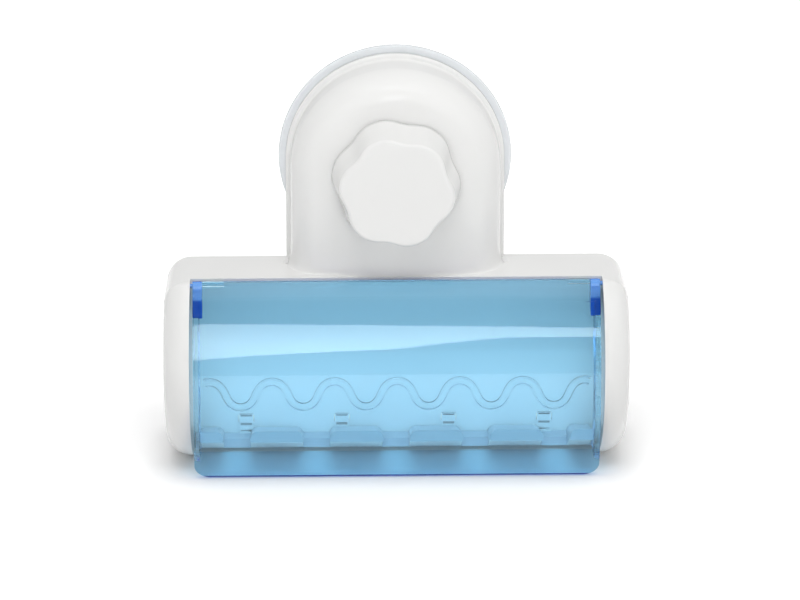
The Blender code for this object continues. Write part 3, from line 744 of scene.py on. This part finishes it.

# The clips and the webs' undersides take the plate's lightened white, also painted light, and the clips'
# grooves get grey painted shade
clip_front = rack_back + 0.0013
clip_low = -0.1138
groove_start = rack_back + 0.0002
groove_end = rack_back + 0.00105
groove_half = 0.00221
web_top = -0.1036
for polygon in rack.data.polygons:
    f, z = -polygon.center.y, polygon.center.z
    from_spot = min(abs(polygon.center.x - spot) for spot in clip_spots)
    if f < clip_front and z > clip_low:
        in_groove = groove_start < f < groove_end and from_spot < groove_half
        polygon.material_index = 2 if in_groove else 1
    elif polygon.normal.z < -0.3 and z < web_top:
        polygon.material_index = 1

# Flip cover. A clear light-blue moulding that turns on two pins: an arched sheet with side flanges, two
# thick hinge lugs and a raised wave across its front.
cover_half = 0.0785
cover_radius = 0.0625
cover_centre = Vector((-0.0157970, -0.0852725))
cover_sheet = 0.0020
cover_top_level = -0.0412
lip_level = -0.1198
lip_f = 0.0363
corner_radius = 0.0063
corner_top = -0.03
past_cover = 0.06
flange_wall = 0.0020
flange_depth = 0.0080
flange_level = -0.112
flange_lead = 0.104
flange_draft = 0.0006
knuckle_radius = 0.0013
knuckle_rise = 0.0004
knuckle_start = cover_half - 0.0122
knuckle_end = cover_half - 0.0031
bore_start = 0.0756
past_side = 0.09
cover_edge = 0.0003
cover_top = math.asin((cover_top_level - cover_centre.y) / cover_radius)
cover_lip = math.atan2(lip_level - cover_centre.y, lip_f - cover_centre.x)


def on_arc(angle, radius):
    """A point (f, z) of the cover's section."""
    return (cover_centre.x + radius * math.cos(angle), cover_centre.y + radius * math.sin(angle))


def strip_section(depth, start, finish, steps, round_lip=False):
    """Section of a curved strip between two angles, with a round lower edge where asked."""
    points = [on_arc(start + (finish - start) * step / steps, cover_radius) for step in range(steps + 1)]
    if round_lip:
        middle = Vector(on_arc(finish, cover_radius - depth / 2))
        for step in range(1, 8):
            angle = finish - math.pi * step / 8
            points.append((middle.x + depth / 2 * math.cos(angle), middle.y + depth / 2 * math.sin(angle)))
    back_angles = [finish + (start - finish) * step / steps for step in range(steps + 1)]
    points += [on_arc(angle, cover_radius - depth) for angle in back_angles]
    return points


def bar(name, radius, f, z, low, high, steps=48):
    """A round bar along X."""
    angles = [2 * math.pi * step / steps for step in range(steps)]
    ring = [(f + radius * math.cos(angle), z + radius * math.sin(angle)) for angle in angles]
    return straight_slab(name, ring, low, high)


sheet_section = strip_section(cover_sheet, cover_top, cover_lip, 96, round_lip=True)
cover = straight_slab("clear_cover", sheet_section, -cover_half, cover_half)
corner_steps = 12
corner_outline = [(cover_half, corner_top), (cover_half, lip_level + corner_radius)]
for step in range(1, corner_steps + 1):
    angle = -math.pi / 2 * step / corner_steps
    corner_outline.append((
        cover_half - corner_radius + corner_radius * math.cos(angle),
        lip_level + corner_radius + corner_radius * math.sin(angle),
    ))
corner_outline += [(-x, z) for x, z in reversed(corner_outline)]
corner_outline.append(corner_outline[0])
corners = close_up(bent_grid("corners", [[(x, -f, z) for x, z in corner_outline] for f in (0.0, past_cover)]))
cut(cover, corners, "INTERSECT")
flange_low = math.asin((flange_level - cover_centre.y) / cover_radius)
for side in (-1, 1):
    inner, outer = sorted((side * (cover_half - flange_wall), side * cover_half))
    flange_section = strip_section(flange_depth, cover_top - flange_lead, flange_low, 72)
    flange = straight_slab("flange", flange_section, inner, outer)
    for vertex in flange.data.vertices:
        if abs(vertex.co.x) < cover_half - flange_wall / 2:
            reach = math.hypot(vertex.co.y + cover_centre.x, vertex.co.z - cover_centre.y)
            vertex.co.x -= side * flange_draft * (cover_radius - reach) / flange_depth
    cut(cover, flange, "UNION")
    ends = sorted((side * knuckle_start, side * knuckle_end))
    cut(cover, bar("knuckle", knuckle_radius, hinge_f, hinge_z + knuckle_rise, *ends), "UNION")
for side in (-1, 1):
    ends = sorted((side * bore_start, side * past_side))
    cut(cover, bar("bore", pin_bore, hinge_f, hinge_z, *ends))

# The wave is a raised band with a ridge along each edge. Its section is (share of half width, height).
wave_period = 0.0241
wave_swing = 0.0051
wave_bulge = 0.0008
wave_middle = -0.0813
wave_level = math.asin((wave_middle - cover_centre.y) / cover_radius)
wave_half = 0.0735
wave_half_width = 0.0018
wave_section = (
    (-1, -0.0005), (1, -0.0005), (1, 0.0), (0.99, 0.00025), (0.95, 0.00044), (0.87, 0.00056), (0.77, 0.0006),
    (0.68, 0.00056), (0.60, 0.00044), (0.54, 0.00028), (0.46, 0.0002), (-0.46, 0.0002), (-0.54, 0.00028),
    (-0.60, 0.00044), (-0.68, 0.00056), (-0.77, 0.0006), (-0.87, 0.00056), (-0.95, 0.00044),
    (-0.99, 0.00025), (-1, 0.0), (-1, -0.0005),
)
wave_rows = []
wave_steps = 260
for step in range(wave_steps + 1):
    x = -wave_half + 2 * wave_half * step / wave_steps
    phase = 2 * math.pi * x / wave_period
    along = -wave_swing * math.cos(phase)
    x += wave_bulge * math.sin(2 * phase)
    run = 1 + wave_bulge * 4 * math.pi / wave_period * math.cos(2 * phase)
    slope = wave_swing * math.sin(phase) * 2 * math.pi / wave_period / run
    across = Vector((-slope, 1)).normalized() * wave_half_width
    row = []
    for share, height in wave_section:
        f, z = on_arc(wave_level - (along + across.y * share) / cover_radius, cover_radius + height)
        row.append((x + across.x * share, -f, z))
    wave_rows.append(row)
wave = close_up(bent_grid("wave", wave_rows))
cut(cover, wave, "UNION")
soften(cover, cover_edge, 2, 55)


def clear_plastic(name, colour, shadow_colour, roughness=0.03):
    """Clear coloured plastic whose shadow is a tint and not a black patch."""
    made = bpy.data.materials.new(name)
    made.use_nodes = True
    tree = made.node_tree
    shader = tree.nodes["Principled BSDF"]
    shader.inputs["Base Color"].default_value = (*colour, 1)
    shader.inputs["Roughness"].default_value = roughness
    shader.inputs["Transmission Weight"].default_value = 1.0
    shader.inputs["IOR"].default_value = 1.49
    path = tree.nodes.new("ShaderNodeLightPath")
    tint = tree.nodes.new("ShaderNodeBsdfTransparent")
    tint.inputs["Color"].default_value = (*shadow_colour, 1)
    both = tree.nodes.new("ShaderNodeMixShader")
    tree.links.new(path.outputs["Is Shadow Ray"], both.inputs["Fac"])
    tree.links.new(shader.outputs[0], both.inputs[1])
    tree.links.new(tint.outputs[0], both.inputs[2])
    tree.links.new(both.outputs[0], tree.nodes["Material Output"].inputs["Surface"])
    return made


clear_blue = clear_plastic("clear_blue", (0.55, 0.845, 1.0), (0.80, 0.95, 1.0))
edge_blue = clear_plastic("edge_blue", (0.06, 0.09, 0.45), (0.4, 0.6, 0.9), 0.08)
edge_blue.node_tree.nodes["Principled BSDF"].inputs["Transmission Weight"].default_value = 0.55
wall_blue = clear_plastic("wall_blue", (0.22, 0.46, 0.86), (0.6, 0.8, 0.97), 0.06)
# A darker blue for the lip, painted shade
lip_painted_shade_blue = clear_plastic("lip_painted_shade_blue", (0.32, 0.64, 0.87), (0.80, 0.95, 1.0))
place(cover, clear_blue, "cover", "flip_cover")
cover.data.materials.append(edge_blue)
cover.data.materials.append(lip_painted_shade_blue)
cover.data.materials.append(wall_blue)

# Deep blue on the sheet's rim, a middle blue on the flanges' inner walls, and a darker tint towards the lip,
# which is painted shade for the shaded floor seen through it
rim_level = -0.1192
lip_shade_level = -0.1062
rim_slack = 0.00005
skin_slack = 0.00002
wall_slack = 0.0003
wall_start = 0.0755
knuckle_zone = 0.066
knuckle_low = -0.0446
for polygon in cover.data.polygons:
    x, f, z = polygon.center.x, -polygon.center.y, polygon.center.z
    reach = math.hypot(f - cover_centre.x, z - cover_centre.y)
    facing = polygon.normal
    outward = (-facing.y * (f - cover_centre.x) + facing.z * (z - cover_centre.y)) / reach
    by_knuckle = abs(x) > knuckle_zone and z > knuckle_low
    in_sheet = cover_radius - cover_sheet - rim_slack < reach < cover_radius + skin_slack
    on_rim = abs(outward) < 0.93 and in_sheet
    faces_in = facing.x * x < -abs(x) * 0.8 and abs(x) > wall_start
    if faces_in and reach < cover_radius - cover_sheet - wall_slack:
        polygon.material_index = 3
    elif (on_rim and not by_knuckle) or z < rim_level:
        polygon.material_index = 1
    elif z < lip_shade_level:
        polygon.material_index = 2

# Hinge lugs. Two solid blocks of the cover's own plastic on its flanges, each bored for a pin. Being thick,
# they look deep blue, and deeper at their foot.
lug_section = (
    (hinge_f + 0.0031, hinge_z - 0.0016), (hinge_f + 0.0013, hinge_z + 0.0013), (hinge_f, hinge_z + 0.0018),
    (hinge_f - 0.0013, hinge_z + 0.0013), (hinge_f - 0.0019, hinge_z - 0.0002),
    (hinge_f - 0.0047, hinge_z - 0.0020), (hinge_f - 0.0058, hinge_z - 0.0028),
    (hinge_f - 0.0064, hinge_z - 0.0045), (hinge_f - 0.0064, hinge_z - 0.0085),
    (hinge_f - 0.0056, hinge_z - 0.0101), (hinge_f - 0.0040, hinge_z - 0.0110),
    (hinge_f - 0.0010, hinge_z - 0.0114), (hinge_f + 0.0045, hinge_z - 0.0120),
)
lug_width = 0.0037
lug_bore_start = 0.0700
lug_edge = 0.0004
lug_dark = hinge_z - 0.0050
lug_light = hinge_z - 0.0036
lug_blue = plastic("lug_blue", (0.05, 0.2, 0.72), 0.16, 0.05)
lug_tree = lug_blue.node_tree
lug_shader = lug_tree.nodes["Principled BSDF"]
lug_parts = node(lug_tree, "SeparateXYZ")
link(lug_tree, node(lug_tree, "TexCoord").outputs["Object"], lug_parts.inputs[0])
lug_cloud = node(lug_tree, "TexNoise")
lug_cloud.inputs["Scale"].default_value = 600
lug_drift = combined(lug_tree, "MULTIPLY", lug_cloud.outputs["Fac"], 0.0012)
lug_level = combined(lug_tree, "ADD", lug_parts.outputs["Z"], lug_drift)
lug_mix = node(lug_tree, "Mix")
lug_mix.data_type = "RGBA"
lug_mix.inputs["A"].default_value = (0.014, 0.12, 0.66, 1)
lug_mix.inputs["B"].default_value = (0.17, 0.42, 0.95, 1)
link(lug_tree, ramp(lug_tree, lug_level, lug_dark, lug_light), lug_mix.inputs["Factor"])
link(lug_tree, lug_mix.outputs["Result"], lug_shader.inputs["Base Color"])
lug_shader.inputs["Transmission Weight"].default_value = 0.15
for side in (-1, 1):
    inner, outer = sorted((side * (cover_half - lug_width), side * cover_half))
    lug = straight_slab("hinge_lug", lug_section, inner, outer)
    ends = sorted((side * lug_bore_start, side * past_side))
    cut(lug, bar("lug_bore", pin_bore, hinge_f, hinge_z, *ends))
    soften(lug, lug_edge, 3, 30)
    place(lug, lug_blue, "cover", "flip_cover")

# Hinge pins. Short plastic pins that sit in the cheeks and carry the lugs. They keep their CAD shapes and
# take the lugs' blue.
for name in ("hinge_pin_left", "hinge_pin_right"):
    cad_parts[name].data.materials.clear()
    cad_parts[name].data.materials.append(lug_blue)

# Knob. A white ABS twist knob with six lobes, moulded hollow from behind, with a small round at its front
# edge. It holds the brass nut, and with it turns on the threaded stem.
knob_back = 0.0288
knob_front = 0.0447
knob_lobe = 0.00098
lobe_full_radius = 0.02
knob_turn = math.radians(50)
knob_skirt = 0.02370
knob_widest = 0.02385
knob_side = 0.02355
knob_shoulder = 0.02135
knob_face = 0.02130
skirt_round = 0.0002
skirt_top = knob_back + 0.002
knob_edge = 0.0013
knob_wall = 0.0021
face_radii = (0.0185, 0.016, 0.012, 0.007, 0.003, 0.0)


def lobed(radius, f, steps=180):
    """A closed outline with six broad lobes and narrower finger hollows between them."""
    points = []
    for step in range(steps + 1):
        angle = -2 * math.pi * step / steps
        scallop = ((1 - math.cos(6 * (angle - knob_turn))) / 2) ** 1.5
        reach = radius + knob_lobe * min(radius / lobe_full_radius, 1) * (1 - 2 * scallop)
        points.append((reach * math.cos(angle), -f, reach * math.sin(angle)))
    return points


knob_rows = [
    lobed(knob_skirt, knob_back), lobed(knob_widest, knob_back + skirt_round), lobed(knob_side, skirt_top),
]
for share in (0.25, 0.5, 0.75, 0.9):
    radius = knob_side + (knob_shoulder - knob_side) * share
    knob_rows.append(lobed(radius, skirt_top + (knob_front - knob_edge - skirt_top) * share))
for step in range(9):
    angle = math.pi / 2 * step / 8
    radius = knob_face - knob_edge * (1 - math.cos(angle))
    knob_rows.append(lobed(radius, knob_front - knob_edge * (1 - math.sin(angle))))
for radius in face_radii:
    knob_rows.append(lobed(radius, knob_front))
knob = close_up(bent_grid("twist_knob", knob_rows), fill=False)
apply_modifier(knob, "SOLIDIFY", thickness=knob_wall, offset=-1)
begin("twist_knob", knob)
bpy.ops.object.shade_smooth_by_angle(angle=math.radians(50))
place(knob, white_abs, "knob_set", "knob")

# Inner pieces. A nylon stem, slip washer and nut retainer, a brass nut and four zinc-plated screws hold the
# holder together. They keep their CAD shapes and get real finishes.
nylon = plastic("white_nylon", (0.80, 0.80, 0.77), 0.45)


def metal(name, colour, roughness):
    """Plated or turned metal with fine lathe marks."""
    made = plastic(name, colour, roughness, 0.1, 2500.0, 0.2)
    made.node_tree.nodes["Principled BSDF"].inputs["Metallic"].default_value = 1
    return made


brass = metal("brass", (0.80, 0.62, 0.32), 0.3)
zinc = metal("zinc_steel", (0.65, 0.66, 0.68), 0.32)
finishes = {"cup_stem": nylon, "thrust_washer": nylon, "nut_retainer": nylon, "knob_nut": brass}
finishes.update({f"plate_screw_{number}": zinc for number in range(1, 5)})
for name, finish in finishes.items():
    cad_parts[name].data.materials.clear()
    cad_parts[name].data.materials.append(finish)
